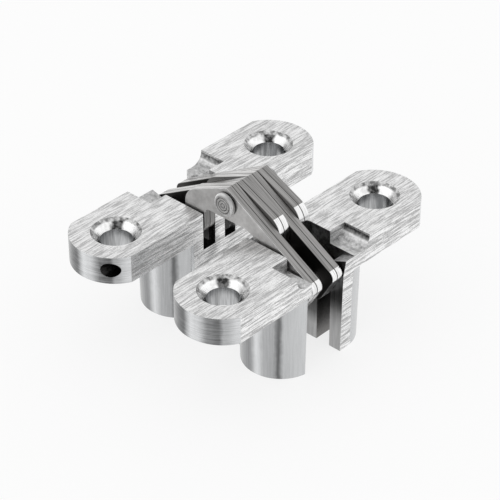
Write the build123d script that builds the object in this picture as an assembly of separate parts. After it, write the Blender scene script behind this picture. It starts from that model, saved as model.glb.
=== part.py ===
from build123d import *
import os
from math import acos, atan2, cos, hypot, radians, sin, tan

# Concealed door hinge, shown open at 180 degrees, faces up, standing on its feet.
# X runs from the left leaf to the right one, Y along the leaves, Z up. Millimetres.

# Leaf castings. The two are alike; the left one is turned half round.
SCREW_SPACING = 31.6
END_RADIUS = 6.7
LEAF_WIDTH = 12.0
LEAF_DEPTH = 17.5
LEAF_PITCH = 20.6
TAB_THICKNESS = 4.3
SCREW_HOLE_DIAMETER = 4.7
COUNTERSINK_DIAMETER = 7.3
GAP_LENGTH = 9.0
COLUMN_FOOT_RADIUS = 5.75
NEAR_COLUMN_AXIS = 4.1
NEAR_COLUMN_START = 5.2
FAR_COLUMN_AXIS = 3.6
WALL_THICKNESS = 1.25
WALL_LENGTH = 12.8
WALL_DROP = 0.45
BOSS_RADIUS = 1.6
WINDOW_DEPTH = 6.15
PRONG_DROP_OUTER = 2.05
PRONG_DROP_INNER = 2.9
PRONG_LEAN = 0.95

# Notches that take the heads of the centre pin when the hinge is closed.
NOTCH_INNER_EDGE = 1.4
NOTCH_LENGTH = 3.1
NOTCH_DEPTH = 2.05
NOTCH_ROUND = 1.95

# Pins.
PIN_DIAMETER = 2.3
PIN_HEAD_DIAMETER = 3.6
PIN_HEAD_HEIGHT = 0.8
PIN_HEAD_BEVEL = 0.3
PIN_FIT = 0.04
PIVOT_TO_LEAF_CENTRE = 4.1
PIVOT_DROP = 2.05
PIVOT_PIN_OPEN_END = 9.0
PIVOT_PIN_BLIND_END = 7.5
PIVOT_BORE_LEAD = 0.2

# Slide grooves in the columns.
GROOVE_TO_LEAF_CENTRE = 2.5
GROOVE_WIDTH = 2.4
GROOVE_DEPTH = 3.1
GROOVE_END_CLEARANCE = 0.2

# Link plates, stacked in pairs that take turns between the two crossed arms.
PLATE_THICKNESS = 1.0
PLATE_GAP = 0.05
PLATES_PER_PAIR = 2
SIDE_CLEARANCE = 0.05
APEX_HEIGHT = 6.1
SHORT_LEG_SLOPE = 24.5
LOBE_RADIUS = 1.95
SHOULDER_RADIUS = 3.1
ARCH_HEIGHT = 0.9
ARCH_RADIUS = 0.9
KNEE_X = 3.6
BOSS_CLEARANCE = 0.25
TOE_RADIUS = 1.3
HEEL_RADIUS = 1.0
LEG_END_MARGIN = 2.35
LEG_LOWER_MARGIN = 3.3

# Movement: each arm turns by FOLD_ANGLE on its own leaf.
FOLD_ANGLE = 120.0
CLOSED_FACE_GAP = 1.0

LEAF_LENGTH = SCREW_SPACING + 2 * END_RADIUS
HALF_WIDTH = LEAF_WIDTH / 2
HALF_GAP = GAP_LENGTH / 2
HALF_PITCH = LEAF_PITCH / 2
PIN_RADIUS = PIN_DIAMETER / 2
PLATE_PITCH = PLATE_THICKNESS + PLATE_GAP
PAIR_PITCH = PLATES_PER_PAIR * PLATE_PITCH
STACK_HALF = 2 * PAIR_PITCH - PLATE_GAP / 2
LEG_TILT = radians(180.0 - FOLD_ANGLE)
PIVOT_X = HALF_PITCH - PIVOT_TO_LEAF_CENTRE
SLIDE_X = HALF_PITCH + GROOVE_TO_LEAF_CENTRE

# Heights are measured from the face plane of the leaves. With these two the centre pin
# ends half way between the closed faces, and each slide pin back on its groove.
CENTRE_RISE = PIVOT_X * tan(LEG_TILT) - (PIVOT_DROP + CLOSED_FACE_GAP / 2) / cos(LEG_TILT)
CENTRE_HEIGHT = CENTRE_RISE - PIVOT_DROP
CLOSED_CENTRE_X = (
    PIVOT_X * cos(LEG_TILT) + CENTRE_RISE * sin(LEG_TILT) - PIVOT_TO_LEAF_CENTRE
)
SLIDE_RISE = (SLIDE_X * cos(LEG_TILT) - GROOVE_TO_LEAF_CENTRE + CLOSED_CENTRE_X) / sin(LEG_TILT)
SLIDE_HEIGHT = CENTRE_HEIGHT - SLIDE_RISE


def box_between(x0, x1, y0, y1, z0, z1):
    """Box between two opposite corners."""
    middle = Pos((x0 + x1) / 2, (y0 + y1) / 2, (z0 + z1) / 2)
    return middle * Box(abs(x1 - x0), abs(y1 - y0), abs(z1 - z0))


def rod(radius, x, z, y0, y1):
    """Round bar along Y."""
    return Pos(x, (y0 + y1) / 2, z) * Rot(90, 0, 0) * Cylinder(radius, abs(y1 - y0))


def slab(profile, y0, y1):
    """Profile drawn in X and Z, made solid from y0 to y1."""
    half = abs(y1 - y0) / 2
    return Pos(0, (y0 + y1) / 2, 0) * extrude(Plane.XZ * profile, amount=half, both=True)


def leaf_plan():
    """Leaf seen from above, round ends about the screw holes cut by straight sides."""
    middle = Rectangle(2 * END_RADIUS, SCREW_SPACING)
    ends = [Pos(0, side * SCREW_SPACING / 2) * Circle(END_RADIUS) for side in (-1, 1)]
    return (middle + ends) & Rectangle(LEAF_WIDTH, LEAF_LENGTH)


def leaf_tabs():
    """Two screw tabs, one each side of the gap."""
    bar = extrude(leaf_plan(), amount=-TAB_THICKNESS)
    gap = box_between(-LEAF_WIDTH, LEAF_WIDTH, -HALF_GAP, HALF_GAP, -TAB_THICKNESS, 0)
    return bar - gap


def column(side, axis, start):
    """Column under one tab from start outwards, round about its axis, drafted to its foot."""
    height = LEAF_DEPTH - TAB_THICKNESS
    middle = -(LEAF_DEPTH + TAB_THICKNESS) / 2
    cone = Pos(0, side * axis, middle) * Cone(COLUMN_FOOT_RADIUS, HALF_WIDTH, height)
    reach = side * (start + LEAF_WIDTH)
    room = box_between(
        -LEAF_WIDTH, LEAF_WIDTH, side * start, reach, -LEAF_DEPTH, -TAB_THICKNESS
    )
    return cone & room


def inner_wall():
    """Wall facing the other leaf, with the seat of the pivot pin along its top."""
    inner = WALL_THICKNESS - HALF_WIDTH
    low = box_between(
        -HALF_WIDTH, inner, -WALL_LENGTH / 2, WALL_LENGTH / 2, -LEAF_DEPTH, -TAB_THICKNESS
    )
    plate = box_between(-HALF_WIDTH, inner, -HALF_GAP, HALF_GAP, -LEAF_DEPTH, -WALL_DROP)
    cap = box_between(
        -HALF_WIDTH, -PIVOT_TO_LEAF_CENTRE, -HALF_GAP, HALF_GAP, -PIVOT_DROP, -WALL_DROP
    )
    boss = rod(BOSS_RADIUS, -PIVOT_TO_LEAF_CENTRE, -PIVOT_DROP, -HALF_GAP, HALF_GAP)
    return low + plate + cap + boss


def wall_windows():
    """Openings of the inner wall for the two pairs of plates that turn on this leaf."""
    edge = -LEAF_WIDTH
    inner = -PIVOT_TO_LEAF_CENTRE + 2 * BOSS_RADIUS
    outer = HALF_GAP
    near = PAIR_PITCH - SIDE_CLEARANCE
    first = box_between(edge, inner, near, outer, -WINDOW_DEPTH, 0)
    second = box_between(
        edge, inner, -PAIR_PITCH - SIDE_CLEARANCE, SIDE_CLEARANCE, -WINDOW_DEPTH, 0
    )
    return first + second


def column_extension():
    """Low part of the far column, reaching under the outermost pair of plates."""
    groove_edge = GROOVE_TO_LEAF_CENTRE + GROOVE_WIDTH / 2
    inner = WALL_THICKNESS - HALF_WIDTH
    start = PAIR_PITCH + SIDE_CLEARANCE
    corners = [
        (inner, -LEAF_DEPTH),
        (COLUMN_FOOT_RADIUS, -LEAF_DEPTH),
        (HALF_WIDTH, -TAB_THICKNESS),
        (inner, -TAB_THICKNESS),
    ]
    flat = slab(make_face(Polyline(*corners, close=True)), start, FAR_COLUMN_AXIS)
    room = box_between(inner, LEAF_WIDTH, start, HALF_GAP, -LEAF_DEPTH, -WINDOW_DEPTH)
    room += box_between(groove_edge, LEAF_WIDTH, start, HALF_GAP, -WINDOW_DEPTH, -TAB_THICKNESS)
    return ((flat + column(1, FAR_COLUMN_AXIS, FAR_COLUMN_AXIS)) & room) + prong_top()


def prong_top():
    """Outer strip of the extension above the tabs' lower side, its front leaning back."""
    groove_edge = GROOVE_TO_LEAF_CENTRE + GROOVE_WIDTH / 2
    start = PAIR_PITCH + SIDE_CLEARANCE
    corners = [
        (groove_edge, -TAB_THICKNESS),
        (HALF_WIDTH, -TAB_THICKNESS),
        (HALF_WIDTH, -PRONG_DROP_OUTER),
        (groove_edge, -PRONG_DROP_INNER),
    ]
    strip = slab(make_face(Polyline(*corners, close=True)), start, HALF_GAP)
    lean = [(start, -TAB_THICKNESS), (start + PRONG_LEAN, 0), (start, 0)]
    wedge = make_face(Polyline(*lean, close=True))
    return strip - extrude(Plane.YZ * wedge, amount=LEAF_WIDTH, both=True)


def slide_groove(y0, y1):
    """Straight groove for a slide pin, open towards the gap and at the foot."""
    x0 = GROOVE_TO_LEAF_CENTRE - GROOVE_WIDTH / 2
    x1 = GROOVE_TO_LEAF_CENTRE + GROOVE_WIDTH / 2
    top = SLIDE_HEIGHT + PIN_RADIUS + GROOVE_END_CLEARANCE
    return box_between(x0, x1, y0, y1, -LEAF_DEPTH, top)


def head_notch(side):
    """Notch in the outer half of a tab, its back rounded up to the face."""
    start = side * HALF_GAP
    end = side * (HALF_GAP + NOTCH_LENGTH)
    block = box_between(NOTCH_INNER_EDGE, LEAF_WIDTH, start, end, -NOTCH_DEPTH, NOTCH_DEPTH)
    low_edges = block.edges().filter_by(Axis.X).group_by(Axis.Z)[0]
    back = low_edges.sort_by(Axis.Y)[0 if side < 0 else -1]
    return fillet(back, NOTCH_ROUND)


def screw_hole(side):
    """Through hole with its countersink."""
    depth = (COUNTERSINK_DIAMETER - SCREW_HOLE_DIAMETER) / 2
    hole = Pos(0, 0, -TAB_THICKNESS / 2) * Cylinder(SCREW_HOLE_DIAMETER / 2, TAB_THICKNESS)
    cone = Pos(0, 0, -depth / 2) * Cone(
        SCREW_HOLE_DIAMETER / 2, COUNTERSINK_DIAMETER / 2, depth
    )
    return Pos(0, side * SCREW_SPACING / 2, 0) * (hole + cone)


def pivot_bore():
    """Bore of the pivot pin, open at the far end of the leaf."""
    return rod(
        PIN_RADIUS, -PIVOT_TO_LEAF_CENTRE, -PIVOT_DROP, -PIVOT_PIN_BLIND_END, LEAF_LENGTH / 2
    )


def leaf():
    """One casting about its own centre, its outer side towards +X, face at zero."""
    body = leaf_tabs() + inner_wall()
    body += column(-1, NEAR_COLUMN_AXIS, NEAR_COLUMN_START)
    body += column(1, FAR_COLUMN_AXIS, HALF_GAP)
    body -= wall_windows()
    body += column_extension()
    far_end = HALF_GAP + GROOVE_DEPTH
    body -= slide_groove(-far_end, -HALF_GAP)
    body -= slide_groove(PAIR_PITCH, far_end)
    for side in (-1, 1):
        body -= head_notch(side)
        body -= screw_hole(side)
    return body - pivot_bore()


def on_right(shape):
    """Place a leaf piece on the right side."""
    return Pos(HALF_PITCH, 0, LEAF_DEPTH) * shape


def on_left(shape):
    """Place a leaf piece on the left side, turned half round."""
    return Pos(-HALF_PITCH, 0, LEAF_DEPTH) * Rot(0, 0, 180) * shape


def pivot_pin():
    """Pin on which one arm turns, fixed in its leaf."""
    return rod(
        PIN_RADIUS,
        -PIVOT_TO_LEAF_CENTRE,
        -PIVOT_DROP,
        -PIVOT_PIN_BLIND_END + PIVOT_BORE_LEAD,
        PIVOT_PIN_OPEN_END,
    )


def touch_point(centre, radius, point, turn):
    """Point where a line from the given point touches a circle."""
    dx = point[0] - centre[0]
    dz = point[1] - centre[1]
    angle = atan2(dz, dx) + turn * acos(radius / hypot(dx, dz))
    return (centre[0] + radius * cos(angle), centre[1] + radius * sin(angle))


def leg_point(across, along):
    """Point of the long leg, counted from the slide pin across and along the leg."""
    x = SLIDE_X + across * cos(LEG_TILT) + along * sin(LEG_TILT)
    z = SLIDE_HEIGHT + across * sin(LEG_TILT) - along * cos(LEG_TILT)
    return (x, z)


def corner(face, point):
    """Corner of a face next to a point."""
    return face.vertices().sort_by_distance(Vector(point[0], point[1], 0))[0]


def plate_outline():
    """Bent plate, short leg on the left pivot pin and long leg down the right leaf."""
    scallop = BOSS_RADIUS + BOSS_CLEARANCE
    upper_margin = (APEX_HEIGHT - SLIDE_HEIGHT - SLIDE_X / tan(LEG_TILT)) * sin(LEG_TILT)
    lobe_edge = -PIVOT_X - LOBE_RADIUS
    shoulder = (lobe_edge, APEX_HEIGHT + lobe_edge * tan(radians(SHORT_LEG_SLOPE)))
    toe = leg_point(upper_margin, LEG_END_MARGIN)
    heel = leg_point(-LEG_LOWER_MARGIN, LEG_END_MARGIN)
    arch = (-PIVOT_X + LOBE_RADIUS, ARCH_HEIGHT)
    knee = (KNEE_X, ARCH_HEIGHT)
    other_pivot = (PIVOT_X, -PIVOT_DROP)
    points = [
        (0, APEX_HEIGHT),
        toe,
        heel,
        touch_point(other_pivot, scallop, heel, 1),
        touch_point(other_pivot, scallop, knee, -1),
        knee,
        arch,
        (-PIVOT_X + LOBE_RADIUS, -PIVOT_DROP),
        (lobe_edge, -PIVOT_DROP),
        shoulder,
    ]
    face = make_face(Polyline(*points, close=True))
    face -= Pos(*other_pivot) * Circle(scallop)
    face += Pos(-PIVOT_X, -PIVOT_DROP) * Circle(LOBE_RADIUS)
    rounds = [
        (toe, TOE_RADIUS),
        (heel, HEEL_RADIUS),
        (arch, ARCH_RADIUS),
        (shoulder, SHOULDER_RADIUS),
    ]
    for point, radius in rounds:
        face = fillet(corner(face, point), radius)
    return face


def link_plate(centre_bore):
    """One plate of the arm that turns on the left leaf, in the middle of the stack."""
    face = plate_outline()
    face -= Pos(-PIVOT_X, -PIVOT_DROP) * Circle(PIN_RADIUS + PIN_FIT)
    face -= Pos(0, CENTRE_HEIGHT) * Circle(centre_bore)
    face -= Pos(SLIDE_X, SLIDE_HEIGHT) * Circle(PIN_RADIUS)
    return slab(face, -PLATE_THICKNESS / 2, PLATE_THICKNESS / 2)


def plate_places(first_pair):
    """Positions along Y of four plates: every other pair of the stack."""
    places = []
    for pair in (first_pair, first_pair + 2):
        for plate in range(PLATES_PER_PAIR):
            index = pair * PLATES_PER_PAIR + plate
            places.append((index + 1 / 2) * PLATE_PITCH - 2 * PAIR_PITCH)
    return places


def centre_pin():
    """Pin through the whole stack with a head at both ends."""
    shaft = rod(PIN_RADIUS, 0, CENTRE_HEIGHT, -STACK_HALF, STACK_HALF)
    for side in (-1, 1):
        inner = side * STACK_HALF
        outer = side * (STACK_HALF + PIN_HEAD_HEIGHT)
        head = rod(PIN_HEAD_DIAMETER / 2, 0, CENTRE_HEIGHT, inner, outer)
        rims = head.edges().filter_by(GeomType.CIRCLE).sort_by(Axis.Y)
        rim = rims[0] if side < 0 else rims[-1]
        shaft += chamfer(rim, PIN_HEAD_BEVEL)
    return Pos(0, 0, LEAF_DEPTH) * shaft


def slide_pin():
    """Pin that holds the long legs of one arm together and follows the grooves."""
    start = -STACK_HALF
    end = PAIR_PITCH - PLATE_GAP / 2
    return Pos(0, 0, LEAF_DEPTH) * rod(PIN_RADIUS, SLIDE_X, SLIDE_HEIGHT, start, end)


def pieces():
    """Every piece by the name of its node."""
    parts = {
        "leaf_left": on_left(leaf()),
        "leaf_right": on_right(leaf()),
        "pivot_pin_left": on_left(pivot_pin()),
        "pivot_pin_right": on_right(pivot_pin()),
        "centre_pin": centre_pin(),
        "slide_pin_right": slide_pin(),
        "slide_pin_left": Rot(0, 0, 180) * slide_pin(),
    }
    arm_a = Pos(0, 0, LEAF_DEPTH) * link_plate(PIN_RADIUS)
    arm_b = Pos(0, 0, LEAF_DEPTH) * Rot(0, 0, 180) * link_plate(PIN_RADIUS + PIN_FIT)
    for number, place in enumerate(plate_places(0), start=1):
        parts[f"arm_a_plate_{number}"] = Pos(0, place, 0) * arm_a
    for number, place in enumerate(plate_places(1), start=1):
        parts[f"arm_b_plate_{number}"] = Pos(0, place, 0) * arm_b
    return parts


def main():
    """Write one STEP file per piece."""
    os.makedirs("parts", exist_ok=True)
    for name, shape in pieces().items():
        shape.label = name
        export_step(shape, f"parts/{name}.step")


if __name__ == "__main__":
    main()
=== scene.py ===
"""Concealed door hinge, opened flat: plated castings, stamped link plates, pins and a plain studio."""

import math

import bmesh
import bpy
from mathutils import Matrix, Vector


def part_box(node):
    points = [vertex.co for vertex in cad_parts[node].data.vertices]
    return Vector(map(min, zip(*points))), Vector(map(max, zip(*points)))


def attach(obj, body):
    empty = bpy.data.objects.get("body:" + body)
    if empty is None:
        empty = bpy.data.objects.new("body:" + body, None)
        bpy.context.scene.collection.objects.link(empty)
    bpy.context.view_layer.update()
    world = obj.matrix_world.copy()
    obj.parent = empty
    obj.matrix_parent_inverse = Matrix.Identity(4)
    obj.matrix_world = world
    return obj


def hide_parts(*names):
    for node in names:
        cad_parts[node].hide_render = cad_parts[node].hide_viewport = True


bl_info = {
    "name": "Concealed door hinge",
    "version": (1, 0, 0),
    "blender": (4, 5, 0),
    "location": "View3D > Sidebar > Hinge",
    "description": "Builds the finishes, fine detail and studio of a concealed door hinge",
    "category": "Add Mesh",
}

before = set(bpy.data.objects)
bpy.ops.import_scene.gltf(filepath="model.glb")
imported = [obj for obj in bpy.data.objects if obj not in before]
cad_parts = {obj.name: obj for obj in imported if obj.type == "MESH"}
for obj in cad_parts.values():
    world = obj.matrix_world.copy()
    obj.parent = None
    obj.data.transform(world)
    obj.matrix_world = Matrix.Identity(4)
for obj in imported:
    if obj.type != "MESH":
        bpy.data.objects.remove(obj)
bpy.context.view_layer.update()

MM = 0.001
MERGE = 0.001 * MM
FACE_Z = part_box("leaf_left")[1].z
LEAF_X = sum(corner.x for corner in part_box("leaf_right")) / 2
LEAF_HALF_WIDTH = (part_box("leaf_right")[1].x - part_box("leaf_right")[0].x) / 2
PLATES = {arm: [f"{arm}_plate_{n}" for n in (1, 2, 3, 4)] for arm in ("arm_a", "arm_b")}
PLATE_PLACES = {
    arm: [sum(corner.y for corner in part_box(plate)) / 2 for plate in plates]
    for arm, plates in PLATES.items()
}

# Regions of a casting, measured from its centre and from its face plane.
TAB_THICKNESS = 4.3 * MM
HALF_GAP = 4.5 * MM
SCREW_PLACE = 15.8 * MM
COUNTERSINK_RADIUS = 3.65 * MM
COUNTERSINK_DEPTH = 1.3 * MM
NOTCH_END = 7.6 * MM
NOTCH_DEPTH = 2.05 * MM
NOTCH_INNER_EDGE = 1.4 * MM
SEAT_DEPTH = 3.7 * MM
HAIR = 0.04 * MM
BORE_TO_CENTRE = 4.1 * MM
BORE_RADIUS = 1.15 * MM
BORE_DEPTH = 2.05 * MM
GROOVE_EDGE = 3.7 * MM
GAP_FACE_DEPTH = 6.0 * MM
RIM_WIDTH = 0.12 * MM
SIDE_STRIP = 0.5 * MM

# How far a casting's face points along a direction, where 1 is straight along it.
UNDERCUT = -0.2
HARDLY = 0.15
LITTLE = 0.3
HALFWAY = 0.5
MOSTLY = 0.9
NEARLY = 0.95
FULLY = 0.97

# Regions of a link plate: where the painted highlight on its rounded ends begins, and how its faces point
# along Y.
SHORT_LEG_LEAN = 38.0
LONG_LEG_LEAN = 31.0
SHOULDER_DROP = 3.2 * MM
TOE_START = 14.0 * MM
FLAT_SIDE = 0.95
EDGE_ROUND_SIDE = 0.1

# The stack of link plates in millimetres, with the depths in which its colours change between bare and
# painted shade.
STACK_HALF = max(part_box(plate)[1].y for plates in PLATES.values() for plate in plates) / MM
APEX_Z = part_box(PLATES["arm_a"][0])[1].z / MM
LEG_SLOPE = math.tan(math.radians(30))
OUTSIDE_DEPTHS = (0.08, 0.03)
ABOVE_DEPTHS = (0.12, 0.02)

# Where the castings' finishes fade, in millimetres: the painted shade on the notches' inner side, the
# countersinks' rim, the painted shade in the pockets and the painted shadow on the gap faces.
NOTCH_SHADE_X = (11.7, 13.4)
COUNTERSINK_RIM_Z = (16.98, 17.16)
POCKET_SHADE_FADE_Z = (7.0, -2.0)
GAP_SHADOW_FADE_Z = (8.6, 6.4)
GAP_SHADOW_STEP_X = (12.0, 13.0)
GAP_SHADOW_STEP = 4.0

# Angles under which faces count as one flat face, and over which an edge is sharp.
FLAT_ANGLE = math.radians(0.5)
SHARP_ANGLE = math.radians(32)

# Names of the corner attributes that the finishes read to place their painted reflections.
FACING = "facing"
TILT = "tilt"

# Steps of the round on the castings' and plates' edges, of the pin's rim and round the pin.
EDGE_STEPS = 2
RIM_STEPS = 8
PIN_STEPS = 72

# Turned rings on the pin's heads, as shares of one ring's width.
RING_OUTER = 0.45
RING_INNER = 0.75
RING_MARGIN = 0.4

# Places of the Mix node's sockets for values and for colours.
VALUES = (2, 3)
VALUE_RESULT = 0
COLOURS = (6, 7)
COLOUR_RESULT = 2

# Studio, in metres.
FLOOR_HALF = 1.5
KEY_PLACE = (-0.12, -0.10, 0.42)
KEY_SIZE = 0.50

# Camera, from a fit to the photograph. It is aimed at the middle of the hinge on the face plane.
CAMERA_AZIMUTH = math.radians(42.82)
CAMERA_ELEVATION = math.radians(34.80)
CAMERA_DISTANCE = 299.3 * MM
CAMERA_RIGHT = 0.43 * MM
CAMERA_UP = -5.28 * MM
FOCAL_PIXELS = 2115.5
PHOTO_PIXELS = 500
SENSOR_MM = 36.0
NEAREST_SEEN = 0.01


def grey(value, warmth=0.0):
    """Grey in linear light; positive warmth is warmer, negative cooler."""
    return (value * (1 + warmth), value, value * (1 - warmth), 1.0)


class HingeSettings(bpy.types.PropertyGroup):
    """Sizes and colours of the hinge's finish."""

    edge_round: bpy.props.FloatProperty(
        name="Edge round", description="Width of the small round on every edge of the castings",
        default=0.11 * MM, min=0, unit="LENGTH",
    )
    plate_edge_round: bpy.props.FloatProperty(
        name="Plate edge round", description="Width of the small round on the link plates' edges",
        default=0.05 * MM, min=0, unit="LENGTH",
    )
    brushed_light: bpy.props.FloatVectorProperty(
        name="Brushed, light", description="Colour of the brushed faces between the strokes",
        default=grey(0.84), size=4, subtype="COLOR",
    )
    brushed_dark: bpy.props.FloatVectorProperty(
        name="Brushed, dark", description="Colour of the brush strokes' bottoms",
        default=grey(0.42), size=4, subtype="COLOR",
    )
    # Satin colours: the two ends of the painted reflection bands on the columns, the tabs' round ends and
    # the screw holes' walls.
    satin_reflection_light: bpy.props.FloatVectorProperty(
        name="Satin, light", description="Lighter colour of the satin columns and round ends",
        default=grey(0.80, -0.012), size=4, subtype="COLOR",
    )
    satin_reflection_dark: bpy.props.FloatVectorProperty(
        name="Satin, dark", description="Darker colour of the satin columns and round ends",
        default=grey(0.14, -0.012), size=4, subtype="COLOR",
    )
    link_light: bpy.props.FloatVectorProperty(
        name="Link plates, light", description="Lighter colour of the link plates' faces",
        default=grey(0.60, 0.012), size=4, subtype="COLOR",
    )
    link_dark: bpy.props.FloatVectorProperty(
        name="Link plates, dark", description="Darker colour of the link plates' faces",
        default=grey(0.42, 0.012), size=4, subtype="COLOR",
    )
    ring_count: bpy.props.IntProperty(
        name="Turned rings", description="Number of turned rings on each end of the centre pin",
        default=3, min=0,
    )
    floor_colour: bpy.props.FloatVectorProperty(
        name="Floor", description="Colour of the studio floor",
        default=grey(0.92), size=4, subtype="COLOR",
    )
    shadow_share: bpy.props.FloatProperty(
        name="Shadow", description="How strongly the floor shows the hinge's shadow",
        default=0.2, min=0, max=1, subtype="FACTOR",
    )
    ambient_level: bpy.props.FloatProperty(
        name="Ambient light", description="Level of the light from all around",
        default=0.9, min=0, max=1, subtype="FACTOR",
    )
    key_power: bpy.props.FloatProperty(
        name="Key light", description="Power of the large soft lamp above the hinge",
        default=0.15, min=0, unit="POWER",
    )


def settings():
    """Settings of the scene."""
    return bpy.context.scene.hinge


def link(name, data):
    """New object in the scene."""
    made = bpy.data.objects.new(name, data)
    bpy.context.scene.collection.objects.link(made)
    return made


def new_group(name, inputs, outputs, result_kind="NodeSocketFloat"):
    """Empty shader group with named sockets."""
    tree = bpy.data.node_groups.new(name, "ShaderNodeTree")
    for socket, kind, value in inputs:
        made = tree.interface.new_socket(socket, in_out="INPUT", socket_type=kind)
        made.default_value = value
    for socket in outputs:
        tree.interface.new_socket(socket, in_out="OUTPUT", socket_type=result_kind)
    return tree, tree.nodes.new("NodeGroupInput"), tree.nodes.new("NodeGroupOutput")


def millimetres(tree):
    """Object coordinates in millimetres."""
    place = tree.nodes.new("ShaderNodeTexCoord")
    scale = tree.nodes.new("ShaderNodeVectorMath")
    scale.operation = "SCALE"
    scale.inputs["Scale"].default_value = 1 / MM
    tree.links.new(place.outputs["Object"], scale.inputs[0])
    return scale.outputs[0]


def axes(tree):
    """Object coordinates in millimetres, with one output for each axis."""
    parts = tree.nodes.new("ShaderNodeSeparateXYZ")
    tree.links.new(millimetres(tree), parts.inputs[0])
    return parts.outputs


def corner_value(tree, name):
    """Value of a corner attribute."""
    node = tree.nodes.new("ShaderNodeAttribute")
    node.attribute_name = name
    return node.outputs["Fac"]


def noise(tree, vector, scale, detail, roughness=0.55):
    """Noise texture on a vector."""
    node = tree.nodes.new("ShaderNodeTexNoise")
    node.inputs["Scale"].default_value = scale
    node.inputs["Detail"].default_value = detail
    node.inputs["Roughness"].default_value = roughness
    tree.links.new(vector, node.inputs["Vector"])
    return node.outputs["Fac"]


def remap(tree, value, low, high, to_low=0.0, to_high=1.0):
    """Map a value from one range to another, clamped."""
    node = tree.nodes.new("ShaderNodeMapRange")
    for name, number in (("From Min", low), ("From Max", high), ("To Min", to_low), ("To Max", to_high)):
        node.inputs[name].default_value = number
    tree.links.new(value, node.inputs["Value"])
    return node.outputs["Result"]


def feed(tree, value, socket):
    """Give a socket a number, or link another node's output to it."""
    if isinstance(value, (int, float)):
        socket.default_value = value
    else:
        tree.links.new(value, socket)


def arithmetic(tree, operation, *values):
    """Math node; each value is a number or another node's output."""
    node = tree.nodes.new("ShaderNodeMath")
    node.operation = operation
    for socket, value in zip(node.inputs, values):
        feed(tree, value, socket)
    return node.outputs[0]


def centred(tree, value):
    """A value from 0 to 1, moved so that it lies evenly about zero."""
    return arithmetic(tree, "SUBTRACT", value, 0.5)


def blend_values(tree, first, second, share):
    """Mix of two values; the share is a number or another node's output."""
    node = tree.nodes.new("ShaderNodeMix")
    feed(tree, share, node.inputs["Factor"])
    for place, value in zip(VALUES, (first, second)):
        tree.links.new(value, node.inputs[place])
    return node.outputs[VALUE_RESULT]


def blend_colours(tree, first, second, share):
    """Mix of two colours by another node's output."""
    node = tree.nodes.new("ShaderNodeMix")
    node.data_type = "RGBA"
    tree.links.new(share, node.inputs["Factor"])
    for place, colour in zip(COLOURS, (first, second)):
        tree.links.new(colour, node.inputs[place])
    return node.outputs[COLOUR_RESULT]


def tones(tree, value, low, high, stops):
    """Grey tones along a value; each stop is a place between low and high and a tone."""
    node = tree.nodes.new("ShaderNodeValToRGB")
    tree.links.new(remap(tree, value, low, high), node.inputs["Fac"])
    shades = node.color_ramp
    shades.interpolation = "EASE"
    shades.elements.remove(shades.elements[1])
    for index, (place, tone) in enumerate(stops):
        stop = shades.elements[0] if index == 0 else shades.elements.new(1.0)
        stop.position = (place - low) / (high - low)
        stop.color = grey(tone)
    return node.outputs["Color"]


def strokes_group():
    """Brush strokes; Stretch is how many fit into a millimetre along each axis."""
    tree, given, result = new_group(
        "brush_strokes",
        [("Stretch", "NodeSocketVector", (6.0, 0.3, 0.3)), ("Wander", "NodeSocketFloat", 0.1)],
        ["Strokes", "Gouges"],
    )
    place = millimetres(tree)
    drift = tree.nodes.new("ShaderNodeTexNoise")
    drift.inputs["Scale"].default_value = 0.25
    tree.links.new(place, drift.inputs["Vector"])
    bend = tree.nodes.new("ShaderNodeVectorMath")
    bend.operation = "SCALE"
    tree.links.new(drift.outputs["Color"], bend.inputs[0])
    tree.links.new(given.outputs["Wander"], bend.inputs["Scale"])
    moved = tree.nodes.new("ShaderNodeVectorMath")
    moved.operation = "ADD"
    tree.links.new(place, moved.inputs[0])
    tree.links.new(bend.outputs[0], moved.inputs[1])
    drawn = tree.nodes.new("ShaderNodeVectorMath")
    drawn.operation = "MULTIPLY"
    tree.links.new(moved.outputs[0], drawn.inputs[0])
    tree.links.new(given.outputs["Stretch"], drawn.inputs[1])
    coarse = noise(tree, drawn.outputs[0], 1.0, 1.0)
    fine = noise(tree, drawn.outputs[0], 2.3, 1.0)
    both = blend_values(tree, coarse, fine, 0.4)
    rare = noise(tree, drawn.outputs[0], 0.8, 2.0, 0.4)
    tree.links.new(remap(tree, both, 0.40, 0.58), result.inputs["Strokes"])
    tree.links.new(remap(tree, rare, 0.40, 0.34), result.inputs["Gouges"])


def grain_group():
    """Uneven skin of a casting: pits and soft patches."""
    tree, given, result = new_group(
        "cast_grain", [("Scale", "NodeSocketFloat", 2.0)], ["Grain", "Patches"]
    )
    scaled = tree.nodes.new("ShaderNodeVectorMath")
    scaled.operation = "SCALE"
    tree.links.new(millimetres(tree), scaled.inputs[0])
    tree.links.new(given.outputs["Scale"], scaled.inputs["Scale"])
    grain = noise(tree, scaled.outputs[0], 1.5, 4.0, 0.65)
    patches = noise(tree, scaled.outputs[0], 0.3, 2.0)
    tree.links.new(remap(tree, grain, 0.35, 0.65), result.inputs["Grain"])
    tree.links.new(remap(tree, patches, 0.38, 0.62), result.inputs["Patches"])


def place_group(tree, group, **values):
    """Group node with its inputs set."""
    node = tree.nodes.new("ShaderNodeGroup")
    node.node_tree = bpy.data.node_groups[group]
    for name, value in values.items():
        node.inputs[name].default_value = value
    return node


def metal(light, dark, roughness):
    """Material with a plain metal shader and a colour mix that waits for its mask."""
    made = bpy.data.materials.new("metal")
    made.use_nodes = True
    tree = made.node_tree
    shader = tree.nodes["Principled BSDF"]
    shader.inputs["Metallic"].default_value = 1.0
    shader.inputs["Roughness"].default_value = roughness
    colours = tree.nodes.new("ShaderNodeMix")
    colours.data_type = "RGBA"
    for place, colour in zip(COLOURS, (dark, light)):
        colours.inputs[place].default_value = colour
    tree.links.new(colours.outputs[COLOUR_RESULT], shader.inputs["Base Color"])
    return made, tree, shader, colours


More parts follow.
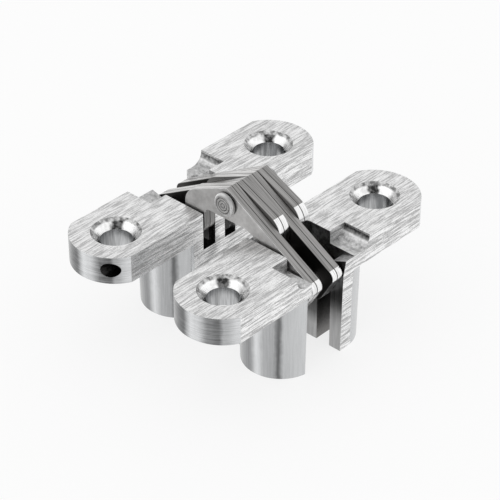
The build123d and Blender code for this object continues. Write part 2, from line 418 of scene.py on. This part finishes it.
def bump(tree, shader, height, distance):
    """Small relief from a height."""
    node = tree.nodes.new("ShaderNodeBump")
    node.inputs["Distance"].default_value = distance
    node.inputs["Strength"].default_value = 1.0
    tree.links.new(height, node.inputs["Height"])
    tree.links.new(node.outputs["Normal"], shader.inputs["Normal"])


def brushed(stretch, roughness, relief, light, dark, wander=0.1, gouges=0.0, speckle=0.0):
    """Brushed metal, with strokes that differ in colour, gloss and height."""
    made, tree, shader, colours = metal(light, dark, roughness[0])
    strokes = place_group(tree, "brush_strokes", Stretch=stretch, Wander=wander)
    left = remap(tree, strokes.outputs["Gouges"], 0, 1, 1, 1 - gouges)
    height = arithmetic(tree, "MULTIPLY", strokes.outputs["Strokes"], left)
    pits = centred(tree, place_group(tree, "cast_grain", Scale=2.4).outputs["Grain"])
    tree.links.new(arithmetic(tree, "MULTIPLY_ADD", pits, speckle, height), colours.inputs[0])
    gloss = remap(tree, height, 0, 1, roughness[1], roughness[0])
    tree.links.new(gloss, shader.inputs["Roughness"])
    bump(tree, shader, height, relief)
    return made


def face_finish():
    """Face of the leaves, brushed lengthwise."""
    look = settings()
    return brushed(
        (4.4, 0.26, 0.5), (0.24, 0.34), 0.008 * MM,
        look.brushed_light, look.brushed_dark, wander=0.06, gouges=0.7, speckle=0.5,
    )


def side_finish():
    """Long sides of the tabs, with coarse strokes along them."""
    return brushed(
        (0.4, 0.24, 4.6), (0.24, 0.40), 0.008 * MM,
        grey(1.0), grey(0.46), wander=0.06, gouges=1.0, speckle=0.5,
    )


def turn_group():
    """Direction in which each spot of an upright curve faces, in degrees, a little uneven."""
    tree, given, result = new_group("facing_turn", [("Unevenness", "NodeSocketFloat", 2.0)], ["Turn"])
    wobble = centred(tree, noise(tree, millimetres(tree), 0.9, 2.0))
    degrees = arithmetic(tree, "DEGREES", corner_value(tree, FACING))
    uneven = arithmetic(tree, "MULTIPLY_ADD", wobble, given.outputs["Unevenness"], degrees)
    tree.links.new(uneven, result.inputs["Turn"])


def painted_reflection_tones(tree, unevenness, stops, folded=True):
    """Painted reflection: grey tones by the direction a spot faces; folded, both ends of a leaf look
    alike.
    """
    turn = place_group(tree, "facing_turn", Unevenness=unevenness).outputs["Turn"]
    if folded:
        return tones(tree, arithmetic(tree, "ABSOLUTE", turn), 0, 180, stops)
    return tones(tree, turn, -180, 180, stops)


def satin(stretch, streaks, stops, roughness=0.24):
    """Satin metal: soft painted reflection bands round the curve, by the direction each spot faces, with
    faint streaks over them.
    """
    look = settings()
    made, tree, shader, colours = metal(look.satin_reflection_light, look.satin_reflection_dark, roughness)
    strokes = place_group(tree, "brush_strokes", Stretch=stretch, Wander=0.04)
    spread = centred(tree, strokes.outputs["Strokes"])
    bands = painted_reflection_tones(tree, 4.0, stops)
    tree.links.new(arithmetic(tree, "MULTIPLY_ADD", spread, streaks, bands), colours.inputs[0])
    bump(tree, shader, strokes.outputs["Strokes"], 0.001 * MM)
    return made


def end_finish():
    """Round ends of the tabs, finely brushed round the curve, with painted reflection bands."""
    return satin((0.25, 0.25, 5.0), 0.16, (
        (28, 0.84), (45, 0.44), (52, 0.03), (63, 0.16), (79, 0.82), (86, 0.92), (100, 0.03), (125, 0.22),
    ))


def column_finish():
    """Columns, satin with faint marks up and down and painted reflection bands."""
    return satin((4.5, 4.5, 0.12), 0.07, (
        (14, 0.72), (43, 0.62), (51, 0.04), (59, 0.44), (71, 0.50), (83, 0.94), (97, 0.26), (126, 0.42),
    ))


def cast_finish():
    """Raw cast surfaces in the notches and on the pin seats, with a painted reflection by their tilt and
    painted shade towards the notches' inner side.
    """
    made, tree, shader, colours = metal(grey(0.88), grey(0.05), 0.30)
    grain = place_group(tree, "cast_grain", Scale=1.4)
    # Painted reflection: grey tones by the tilt of each spot.
    shades = tones(tree, corner_value(tree, TILT), 0, 1, (
        (0.0, 0.62), (0.05, 0.62), (0.15, 0.10), (0.42, 0.34), (0.56, 0.86), (0.68, 0.62), (0.86, 0.38),
        (1.0, 0.56),
    ))
    # Painted shade towards the notches' inner side.
    inner = remap(tree, arithmetic(tree, "ABSOLUTE", axes(tree)["X"]), *NOTCH_SHADE_X, 0.55, 1)
    pits = centred(tree, grain.outputs["Grain"])
    mask = arithmetic(tree, "MULTIPLY_ADD", pits, 0.34, arithmetic(tree, "MULTIPLY", shades, inner))
    tree.links.new(remap(tree, mask, 0.0, 1.0), colours.inputs[0])
    bump(tree, shader, grain.outputs["Grain"], 0.03 * MM)
    return made


def polished_finish():
    """Countersinks, cut, with a painted reflection by the direction each spot faces: bright, with a dark
    mottled patch; and a duller rim.
    """
    made, tree, shader, colours = metal(grey(0.99), grey(0.03), 0.12)
    grain = place_group(tree, "cast_grain", Scale=5.0)
    pits = centred(tree, grain.outputs["Patches"])
    # Painted reflection with its dark patch, by the direction each spot faces.
    cone_reflection = painted_reflection_tones(tree, 26.0, (
        (-150, 0.60), (-118, 0.58), (-94, 1.0), (-70, 0.95), (-59, 0.04), (-36, 0.04), (-23, 0.90),
        (12, 1.0), (40, 0.50), (120, 0.7),
    ), folded=False)
    ring = remap(tree, axes(tree)["Z"], *COUNTERSINK_RIM_Z)
    speckled = arithmetic(tree, "MULTIPLY_ADD", pits, 0.22, cone_reflection)
    dull = arithmetic(tree, "MULTIPLY_ADD", pits, 0.45, 0.38)
    tree.links.new(blend_values(tree, speckled, dull, ring), colours.inputs[0])
    bump(tree, shader, grain.outputs["Grain"], 0.008 * MM)
    return made


def rim_finish():
    """Upper edges of the castings and rims of the countersinks: a thin uneven line."""
    made, tree, shader, colours = metal(grey(0.95), grey(0.08), 0.35)
    grain = place_group(tree, "cast_grain", Scale=1.6)
    mask = arithmetic(tree, "MULTIPLY_ADD", grain.outputs["Patches"], 0.7, 0.1)
    pits = centred(tree, grain.outputs["Grain"])
    tree.links.new(arithmetic(tree, "MULTIPLY_ADD", pits, 0.6, mask), colours.inputs[0])
    return made


def bore_finish():
    """Walls of the screw holes, with painted reflection bands."""
    return satin((3.0, 3.0, 0.2), 0.28, (
        (0, 0.52), (22, 0.30), (45, 0.55), (85, 0.58), (108, 0.12), (135, 0.80), (180, 0.5),
    ), 0.3)


def pocket_shade_finish():
    """Inside of the pockets: painted shade, almost black, fading lighter towards the open foot."""
    made, tree, shader, colours = metal(grey(0.30, 0.02), grey(0.018, 0.02), 0.42)
    # Painted shade, fading towards the open foot.
    shade_fade = remap(tree, axes(tree)["Z"], *POCKET_SHADE_FADE_Z)
    grain = place_group(tree, "cast_grain", Scale=2.0)
    tree.links.new(arithmetic(tree, "MULTIPLY_ADD", grain.outputs["Grain"], 0.12, shade_fade), colours.inputs[0])
    bump(tree, shader, grain.outputs["Grain"], 0.01 * MM)
    return made


def gap_face_shadow_finish():
    """Flat faces of the columns towards the gap: painted shadow, grey and lighter towards the foot."""
    made, tree, shader, colours = metal(grey(0.46), grey(0.11), 0.34)
    place = axes(tree)
    # Painted shadow, which reaches further down on the faces nearer the middle.
    inwards = remap(tree, arithmetic(tree, "ABSOLUTE", place["X"]), *GAP_SHADOW_STEP_X, GAP_SHADOW_STEP, 0.0)
    shade_fade = remap(tree, arithmetic(tree, "ADD", place["Z"], inwards), *GAP_SHADOW_FADE_Z)
    strokes = place_group(tree, "brush_strokes", Stretch=(3.0, 3.0, 0.2))
    mask = blend_values(tree, shade_fade, strokes.outputs["Strokes"], 0.22)
    tree.links.new(mask, colours.inputs[0])
    bump(tree, shader, strokes.outputs["Strokes"], 0.002 * MM)
    return made


def plate_shade_group():
    """Colour of a link plate: bare outside, painted shade between plates, lighter painted shade where it
    stands above them.
    """
    tree, given, result = new_group(
        "plate_painted_shade",
        [(name, "NodeSocketColor", grey(1.0)) for name in ("Bare", "Between", "Above")],
        ["Colour"],
        "NodeSocketColor",
    )
    place = axes(tree)
    side = arithmetic(tree, "ABSOLUTE", place["Y"])
    outside = remap(tree, side, *[STACK_HALF - depth for depth in OUTSIDE_DEPTHS])
    across = arithmetic(tree, "ABSOLUTE", place["X"])
    height = arithmetic(tree, "MULTIPLY_ADD", across, LEG_SLOPE, place["Z"])
    above = remap(tree, height, *[APEX_Z - depth for depth in ABOVE_DEPTHS])
    inner = blend_colours(tree, given.outputs["Between"], given.outputs["Above"], above)
    shown = blend_colours(tree, inner, given.outputs["Bare"], outside)
    tree.links.new(shown, result.inputs["Colour"])


def paint_plate_shade(tree, shader, colours, between, above):
    """Put the painted shade's colours over the colour mix of a link plate's finish."""
    oil = place_group(tree, "plate_painted_shade", Between=between, Above=above)
    tree.links.new(colours.outputs[COLOUR_RESULT], oil.inputs["Bare"])
    tree.links.new(oil.outputs["Colour"], shader.inputs["Base Color"])


def link_face_finish():
    """Flat faces of the link plates: matt outside, dark with painted shade between the plates."""
    look = settings()
    made, tree, shader, colours = metal(look.link_light, look.link_dark, 0.42)
    grain = place_group(tree, "cast_grain", Scale=1.3)
    mask = blend_values(tree, grain.outputs["Grain"], grain.outputs["Patches"], 0.6)
    tree.links.new(mask, colours.inputs[0])
    paint_plate_shade(tree, shader, colours, grey(0.05, 0.04), grey(0.25, 0.015))
    bump(tree, shader, grain.outputs["Grain"], 0.004 * MM)
    return made


def link_edge_finish():
    """Long edges of the link plates, ground lengthwise."""
    return brushed(
        (0.1, 5.0, 0.1), (0.30, 0.40), 0.0015 * MM, grey(0.35, 0.015), grey(0.22, 0.015)
    )


def link_lit_edge_finish():
    """Edges of the link plates that face up and towards −X, lighter with painted light, and scratched."""
    return brushed(
        (0.12, 4.0, 0.12), (0.24, 0.36), 0.002 * MM,
        grey(0.70, 0.012), grey(0.36, 0.012), gouges=0.85,
    )


def link_gap_finish():
    """Small rounds along the link plates' edges: painted shade between plates, bright on the outside."""
    made, tree, shader, colours = metal(grey(0.78), grey(0.50), 0.3)
    strokes = place_group(tree, "brush_strokes", Stretch=(0.6, 6.0, 0.6))
    tree.links.new(strokes.outputs["Strokes"], colours.inputs[0])
    paint_plate_shade(tree, shader, colours, grey(0.07, 0.03), grey(0.16, 0.02))
    return made


def link_round_highlight_finish():
    """Rounded ends of the link plates, bright with a painted highlight."""
    made, tree, shader, colours = metal(grey(0.97), grey(0.80), 0.16)
    strokes = place_group(tree, "brush_strokes", Stretch=(0.4, 6.0, 0.4))
    tree.links.new(strokes.outputs["Strokes"], colours.inputs[0])
    return made


def pin_finish():
    """Turned steel of the pins."""
    made, tree, shader, colours = metal(grey(0.57, 0.01), grey(0.38, 0.01), 0.30)
    grain = place_group(tree, "cast_grain", Scale=2.5)
    tree.links.new(grain.outputs["Grain"], colours.inputs[0])
    return made


def pin_rim_highlight_finish():
    """Round rim of the pin's heads, bright with a painted highlight."""
    made, tree, shader, colours = metal(grey(0.90), grey(0.30), 0.2)
    bands = place_group(tree, "cast_grain", Scale=0.9)
    tree.links.new(bands.outputs["Patches"], colours.inputs[0])
    return made


def pin_groove_shade_finish():
    """Grooves of the turned rings on the heads, dark with painted shade."""
    made, tree, shader, colours = metal(grey(0.20), grey(0.10), 0.4)
    grain = place_group(tree, "cast_grain", Scale=2.5)
    tree.links.new(grain.outputs["Grain"], colours.inputs[0])
    return made


def pin_root_shade_finish():
    """Roots of the pin's heads, dark with painted shade where the heads meet the plates."""
    made, tree, shader, colours = metal(grey(0.05), grey(0.02), 0.5)
    grain = place_group(tree, "cast_grain", Scale=2.5)
    tree.links.new(grain.outputs["Grain"], colours.inputs[0])
    return made


def floor_finish():
    """Pale floor. Seen directly or mirrored it tends to white and keeps a soft shadow."""
    made = bpy.data.materials.new("studio_floor")
    made.use_nodes = True
    tree = made.node_tree
    shader = tree.nodes["Principled BSDF"]
    shader.inputs["Base Color"].default_value = settings().floor_colour
    shader.inputs["Roughness"].default_value = 0.9
    shader.inputs["Specular IOR Level"].default_value = 0.0
    white = tree.nodes.new("ShaderNodeEmission")
    share = remap(tree, seen_or_mirrored(tree), 0, 1, 0, 1 - settings().shadow_share)
    mix = tree.nodes.new("ShaderNodeMixShader")
    tree.links.new(share, mix.inputs["Fac"])
    tree.links.new(shader.outputs[0], mix.inputs[1])
    tree.links.new(white.outputs[0], mix.inputs[2])
    tree.links.new(mix.outputs[0], tree.nodes["Material Output"].inputs["Surface"])
    return made


def working_copy(name, node):
    """Merged copy of a CAD node's mesh, its flat faces rid of inner edges."""
    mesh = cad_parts[node].data.copy()
    mesh.materials.clear()
    made = link(name, mesh)
    work = bmesh.new()
    work.from_mesh(mesh)
    bmesh.ops.remove_doubles(work, verts=work.verts, dist=MERGE)
    bmesh.ops.dissolve_limit(
        work, angle_limit=FLAT_ANGLE, verts=work.verts, edges=work.edges, delimit={"NORMAL"}
    )
    work.to_mesh(mesh)
    work.free()
    return made


def round_edges(made, width):
    """Small round on every sharp edge, as a bevel that is applied."""
    bevel = made.modifiers.new("edge_round", "BEVEL")
    bevel.width = width
    bevel.segments = EDGE_STEPS
    bevel.limit_method = "ANGLE"
    bevel.angle_limit = SHARP_ANGLE
    apply_modifiers(made)


def apply_modifiers(made):
    """Turn the evaluated object into a plain mesh."""
    depsgraph = bpy.context.evaluated_depsgraph_get()
    mesh = bpy.data.meshes.new_from_object(made.evaluated_get(depsgraph))
    made.modifiers.clear()
    made.data = mesh


def smooth_by_angle(made, degrees=20):
    """Smooth shading with hard edges kept."""
    mesh = made.data
    mesh.shade_smooth()
    mesh.set_sharp_from_angle(angle=math.radians(degrees))


def add_finishes(made, finishes):
    """Material slots of an object, in the order of its list of finishes."""
    for finish in finishes:
        made.data.materials.append(bpy.data.materials[finish.__name__])


# Finishes in the order of their material slots: of a casting, of a link plate and of the centre pin.
FINISHES = (
    face_finish,
    side_finish,
    end_finish,
    column_finish,
    cast_finish,
    polished_finish,
    bore_finish,
    pocket_shade_finish,
    gap_face_shadow_finish,
    rim_finish,
)
FACE, SIDE, END, COLUMN, CAST, POLISHED, BORE, POCKET_SHADE, GAP_FACE_SHADOW, RIM = range(len(FINISHES))

LINK_FINISHES = (
    link_face_finish,
    link_edge_finish,
    link_lit_edge_finish,
    link_round_highlight_finish,
    link_gap_finish,
)
LINK_FACE, LINK_EDGE, LINK_LIT_EDGE, LINK_ROUND_HIGHLIGHT, LINK_GAP = range(len(LINK_FINISHES))

PIN_FINISHES = (pin_finish, pin_rim_highlight_finish, pin_groove_shade_finish, pin_root_shade_finish)
PIN, PIN_RIM_HIGHLIGHT, PIN_GROOVE_SHADE, PIN_ROOT_SHADE = range(len(PIN_FINISHES))


def casting_region(place, normal, side):
    """Finish of one face of a casting, from its place and direction on the leaf."""
    out = side * place.x - LEAF_X
    along = abs(place.y)
    depth = FACE_Z - place.z
    outward = side * normal.x
    from_screw = math.hypot(out, along - SCREW_PLACE)
    if depth < RIM_WIDTH and HARDLY < normal.z < FULLY:
        return RIM
    if normal.z > HALFWAY and depth < HAIR:
        return FACE
    from_bore = math.hypot(out + BORE_TO_CENTRE, depth - BORE_DEPTH)
    # The wall of the pin bore gets the pockets' painted shade.
    if from_bore < BORE_RADIUS + HAIR and along > HALF_GAP and abs(normal.y) < LITTLE:
        return POCKET_SHADE
    if from_screw < COUNTERSINK_RADIUS + HAIR and abs(normal.z) < NEARLY:
        return POLISHED if depth < COUNTERSINK_DEPTH else BORE
    in_gap = along < HALF_GAP + HAIR
    if in_gap and depth < SEAT_DEPTH and normal.z > UNDERCUT and (out < 0 or normal.z > LITTLE):
        return CAST
    if in_gap and abs(outward) > MOSTLY and abs(out) > LEAF_HALF_WIDTH - SIDE_STRIP:
        return SIDE
    # Deep faces of the columns towards the gap get a painted shadow.
    if in_gap and depth > GAP_FACE_DEPTH and abs(normal.y) > HALFWAY:
        return GAP_FACE_SHADOW
    if in_gap and depth > TAB_THICKNESS and outward > HALFWAY and out > GROOVE_EDGE:
        return COLUMN
    # The rest of the gap gets the pockets' painted shade.
    if in_gap:
        return POCKET_SHADE
    in_notch = along < NOTCH_END + HAIR and out > NOTCH_INNER_EDGE - HAIR
    if in_notch and depth < NOTCH_DEPTH + HAIR and abs(outward) < NEARLY:
        return CAST
    if depth < TAB_THICKNESS - HAIR:
        return SIDE if abs(outward) > FULLY else END
    # Upright faces by the middle, round the slide grooves, get the pockets' painted shade.
    if abs(normal.z) < HALFWAY and along < NOTCH_END and abs(out) < GROOVE_EDGE + HAIR:
        return POCKET_SHADE
    return COLUMN


def note_directions(mesh):
    """Keep on every corner which way it faces: the turn about the vertical, and the tilt."""
    facing = mesh.attributes.new(FACING, "FLOAT", "CORNER")
    tilt = mesh.attributes.new(TILT, "FLOAT", "CORNER")
    for face in mesh.polygons:
        middle = math.atan2(face.normal.y, face.normal.x)
        for index in face.loop_indices:
            normal = mesh.corner_normals[index].vector
            turn = math.atan2(normal.y, normal.x) - middle
            facing.data[index].value = middle + (turn + math.pi) % math.tau - math.pi
            tilt.data[index].value = normal.z


def dress_casting(name, node, body, side):
    """Leaf casting with rounded edges and a finish for each of its regions."""
    made = working_copy(name, node)
    round_edges(made, settings().edge_round)
    smooth_by_angle(made)
    add_finishes(made, FINISHES)
    for face in made.data.polygons:
        face.material_index = casting_region(face.center, face.normal, side)
    note_directions(made.data)
    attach(made, body)
    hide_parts(node)


class HINGE_OT_finishes(bpy.types.Operator):
    """Make the shared shader groups and every metal finish"""

    bl_idname = "hinge.finishes"
    bl_label = "Make finishes"

    def execute(self, context):
        strokes_group()
        grain_group()
        turn_group()
        plate_shade_group()
        for finish in FINISHES + LINK_FINISHES + PIN_FINISHES:
            finish().name = finish.__name__
        return {"FINISHED"}


class HINGE_OT_castings(bpy.types.Operator):
    """Dress the two leaf castings"""

    bl_idname = "hinge.castings"
    bl_label = "Leaf castings"

    def execute(self, context):
        dress_casting("left_casting", "leaf_left", "left_leaf", -1)
        dress_casting("right_casting", "leaf_right", "right_leaf", 1)
        return {"FINISHED"}


def flat_sides(tree):
    """One on the plates' flat sides, which face along Y, otherwise zero."""
    normal = tree.nodes.new("GeometryNodeInputNormal")
    parts = tree.nodes.new("ShaderNodeSeparateXYZ")
    tree.links.new(normal.outputs[0], parts.inputs[0])
    return arithmetic(tree, "GREATER_THAN", arithmetic(tree, "ABSOLUTE", parts.outputs["Y"]), FLAT_SIDE)


def stack_tree():
    """Geometry nodes that set one plate at each of its places along Y, and the pitches' identifiers."""
    tree = bpy.data.node_groups.new("plate_stack", "GeometryNodeTree")
    tree.interface.new_socket("Geometry", in_out="INPUT", socket_type="NodeSocketGeometry")
    pair = tree.interface.new_socket("Pair pitch", in_out="INPUT", socket_type="NodeSocketFloat")
    plate = tree.interface.new_socket("Plate pitch", in_out="INPUT", socket_type="NodeSocketFloat")
    tree.interface.new_socket("Geometry", in_out="OUTPUT", socket_type="NodeSocketGeometry")
    given = tree.nodes.new("NodeGroupInput")
    result = tree.nodes.new("NodeGroupOutput")
    plates = repeat_along_y(tree, given.outputs["Geometry"], given.outputs["Plate pitch"])
    stack = repeat_along_y(tree, plates, given.outputs["Pair pitch"])
    finish = tree.nodes.new("GeometryNodeSetMaterial")
    finish.inputs["Material"].default_value = bpy.data.materials["link_face_finish"]
    tree.links.new(stack, finish.inputs["Geometry"])
    tree.links.new(flat_sides(tree), finish.inputs["Selection"])
    tree.links.new(finish.outputs["Geometry"], result.inputs["Geometry"])
    return tree, pair.identifier, plate.identifier


def repeat_along_y(tree, geometry, step):
    """Two copies of a geometry, one step apart along Y, made real."""
    offset = tree.nodes.new("ShaderNodeCombineXYZ")
    tree.links.new(step, offset.inputs["Y"])
    line = tree.nodes.new("GeometryNodeMeshLine")
    line.inputs["Count"].default_value = 2
    tree.links.new(offset.outputs[0], line.inputs["Offset"])
    copies = tree.nodes.new("GeometryNodeInstanceOnPoints")
    tree.links.new(line.outputs[0], copies.inputs["Points"])
    tree.links.new(geometry, copies.inputs["Instance"])
    real = tree.nodes.new("GeometryNodeRealizeInstances")
    tree.links.new(copies.outputs[0], real.inputs[0])
    return real.outputs[0]


def plate_region(place, normal, mirror):
    """Finish of one face of a link plate; mirror turns an arm B plate into an arm A one."""
    if abs(normal.y) > FLAT_SIDE:
        return LINK_FACE
    if abs(normal.y) > EDGE_ROUND_SIDE:
        return LINK_GAP
    along = place.x * mirror
    lean = math.degrees(math.atan2(normal.x * mirror, normal.z))
    # Rounds that lean past these angles get a painted highlight.
    shoulder = lean < -SHORT_LEG_LEAN and place.z > FACE_Z - SHOULDER_DROP
    toe = along > TOE_START and lean > LONG_LEG_LEAN
    if shoulder or toe:
        return LINK_ROUND_HIGHLIGHT
    # Edges that face up and towards −X get painted light.
    return LINK_LIT_EDGE if normal.x < 0 and normal.z > 0 else LINK_EDGE


def dress_plates(arm, mirror, tree, pair, plate):
    """The four plates of one arm, from one finished plate and a node tree with its two pitches."""
    made = working_copy(f"{arm}_plates", PLATES[arm][0])
    round_edges(made, settings().plate_edge_round)
    add_finishes(made, LINK_FINISHES)
    for face in made.data.polygons:
        face.material_index = plate_region(face.center, face.normal, mirror)
    smooth_by_angle(made)
    places = PLATE_PLACES[arm]
    stack = made.modifiers.new("stack", "NODES")
    stack.node_group = tree
    stack[pair] = places[2] - places[0]
    stack[plate] = places[1] - places[0]
    apply_modifiers(made)
    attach(made, arm)
    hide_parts(*PLATES[arm])


class HINGE_OT_plates(bpy.types.Operator):
    """Dress the eight link plates"""

    bl_idname = "hinge.plates"
    bl_label = "Link plates"

    def execute(self, context):
        stack = stack_tree()
        dress_plates("arm_a", 1, *stack)
        dress_plates("arm_b", -1, *stack)
        return {"FINISHED"}


def turned_profile(shaft, head, half, top, rings):
    """Half section of the centre pin, each point with the finish of the stretch before it."""
    rim = 0.34 * MM
    root = 0.22 * MM
    groove = 0.07 * MM
    # The heads' roots and the rings' grooves carry painted shade, the rims a painted highlight.
    points = [
        (shaft, 0, PIN),
        (shaft, half, PIN),
        (head - root, half, PIN_ROOT_SHADE),
        (head, half + root, PIN_ROOT_SHADE),
    ]
    for step in range(RIM_STEPS + 1):
        angle = math.pi / 2 * step / RIM_STEPS
        across = head - rim + rim * math.cos(angle)
        points.append((across, top - rim + rim * math.sin(angle), PIN_RIM_HIGHLIGHT))
    flat = head - rim
    for ring in range(rings):
        outer = flat * (1 - (ring + RING_OUTER) / (rings + RING_MARGIN))
        inner = flat * (1 - (ring + RING_INNER) / (rings + RING_MARGIN))
        middle = (outer + inner) / 2
        points += [(outer, top, PIN), (middle, top - groove, PIN_GROOVE_SHADE), (inner, top, PIN_GROOVE_SHADE)]
    points.append((0, top, PIN))
    return points


def lathe_y(name, profile, centre):
    """Body of revolution about a line along Y, mirrored to both sides of the middle."""
    mesh = bpy.data.meshes.new(name)
    work = bmesh.new()
    for side in (-1, 1):
        for first, second in zip(profile, profile[1:]):
            *second, finish = second
            ends = [work.verts.new((point[0], side * point[1], 0)) for point in (first, second)]
            old = set(work.faces)
            bmesh.ops.spin(
                work, geom=ends + [work.edges.new(ends)], cent=(0, 0, 0), axis=(0, 1, 0),
                angle=math.tau, steps=PIN_STEPS, use_merge=True,
            )
            for face in set(work.faces) - old:
                face.material_index = finish
    bmesh.ops.remove_doubles(work, verts=work.verts, dist=MERGE)
    bmesh.ops.recalc_face_normals(work, faces=work.faces)
    bmesh.ops.translate(work, verts=work.verts, vec=centre)
    work.to_mesh(mesh)
    work.free()
    return link(name, mesh)


class HINGE_OT_pins(bpy.types.Operator):
    """Turn the centre pin and finish the other pins"""

    bl_idname = "hinge.pins"
    bl_label = "Pins"

    def execute(self, context):
        low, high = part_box("centre_pin")
        centre = (low + high) / 2
        shaft = (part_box("slide_pin_right")[1].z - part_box("slide_pin_right")[0].z) / 2
        half = -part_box("slide_pin_right")[0].y
        profile = turned_profile(
            shaft, (high.x - low.x) / 2, half, (high.y - low.y) / 2, settings().ring_count
        )
        pin = lathe_y("turned_centre_pin", profile, centre)
        smooth_by_angle(pin, 30)
        add_finishes(pin, PIN_FINISHES)
        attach(pin, "arm_a")
        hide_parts("centre_pin")
        for node in ("pivot_pin_left", "pivot_pin_right", "slide_pin_left", "slide_pin_right"):
            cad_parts[node].data.materials.clear()
            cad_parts[node].data.materials.append(bpy.data.materials["pin_finish"])
        return {"FINISHED"}


def photo_camera():
    """Position and rotation of the camera."""
    azimuth, elevation = CAMERA_AZIMUTH, CAMERA_ELEVATION
    look = Vector((
        -math.sin(azimuth) * math.cos(elevation),
        math.cos(azimuth) * math.cos(elevation),
        -math.sin(elevation),
    ))
    right = Vector((math.cos(azimuth), math.sin(azimuth), 0))
    up = right.cross(look)
    place = Vector((0, 0, FACE_Z)) - look * CAMERA_DISTANCE
    place += right * CAMERA_RIGHT + up * CAMERA_UP
    turn = Matrix((right, up, -look)).transposed().to_4x4()
    return Matrix.Translation(place) @ turn


def soft_lamp(name, place, size, power):
    """Square area lamp aimed at the hinge."""
    data = bpy.data.lights.new(name, "AREA")
    data.size = size
    data.energy = power
    made = link(name, data)
    made.location = place
    made.rotation_euler = (Vector(place) - Vector((0, 0, FACE_Z))).to_track_quat("Z", "Y").to_euler()


def seen_or_mirrored(tree):
    """One for rays from the camera and for mirrored and transmitted rays, otherwise zero."""
    ray = tree.nodes.new("ShaderNodeLightPath")
    seen = arithmetic(tree, "MAXIMUM", ray.outputs["Is Camera Ray"], ray.outputs["Is Glossy Ray"])
    return arithmetic(tree, "MAXIMUM", seen, ray.outputs["Is Transmission Ray"])


def studio_world():
    """White surroundings that light the hinge at a plain level."""
    world = bpy.data.worlds.new("studio")
    world.use_nodes = True
    bpy.context.scene.world = world
    tree = world.node_tree
    back = tree.nodes["Background"]
    back.inputs["Color"].default_value = grey(1.0)
    level = remap(tree, seen_or_mirrored(tree), 0, 1, settings().ambient_level, 1)
    tree.links.new(level, back.inputs["Strength"])


class HINGE_OT_stage(bpy.types.Operator):
    """Set up the floor, the lamp, the surroundings and the camera"""

    bl_idname = "hinge.stage"
    bl_label = "Stage"

    def execute(self, context):
        mesh = bpy.data.meshes.new("floor")
        low, high = -FLOOR_HALF, FLOOR_HALF
        corners = [(low, low, 0), (high, low, 0), (high, high, 0), (low, high, 0)]
        mesh.from_pydata(corners, [], [(0, 1, 2, 3)])
        floor = link("floor", mesh)
        mesh.materials.append(floor_finish())
        studio_world()
        soft_lamp("key", KEY_PLACE, KEY_SIZE, settings().key_power)
        camera = link("camera", bpy.data.cameras.new("camera"))
        camera.data.sensor_width = SENSOR_MM
        camera.data.lens = FOCAL_PIXELS / PHOTO_PIXELS * SENSOR_MM
        camera.data.clip_start = NEAREST_SEEN
        camera.matrix_world = photo_camera()
        context.scene.camera = camera
        context.scene.view_settings.view_transform = "Standard"
        return {"FINISHED"}


OPERATORS = (
    HINGE_OT_finishes,
    HINGE_OT_castings,
    HINGE_OT_plates,
    HINGE_OT_pins,
    HINGE_OT_stage,
)


class HINGE_PT_panel(bpy.types.Panel):
    """Buttons and settings in the sidebar"""

    bl_idname = "HINGE_PT_panel"
    bl_label = "Concealed door hinge"
    bl_space_type = "VIEW_3D"
    bl_region_type = "UI"
    bl_category = "Hinge"

    def draw(self, context):
        for name in HingeSettings.__annotations__:
            self.layout.prop(context.scene.hinge, name)
        for operator in OPERATORS:
            self.layout.operator(operator.bl_idname)


def register():
    """Register the settings, the operators and the panel."""
    for item in (HingeSettings,) + OPERATORS + (HINGE_PT_panel,):
        bpy.utils.register_class(item)
    bpy.types.Scene.hinge = bpy.props.PointerProperty(type=HingeSettings)


def unregister():
    """Undo register."""
    del bpy.types.Scene.hinge
    for item in reversed((HingeSettings,) + OPERATORS + (HINGE_PT_panel,)):
        bpy.utils.unregister_class(item)


def main():
    """Build everything in order."""
    register()
    for operator in OPERATORS:
        group, name = operator.bl_idname.split(".")
        getattr(getattr(bpy.ops, group), name)()


if __name__ == "__main__":
    main()
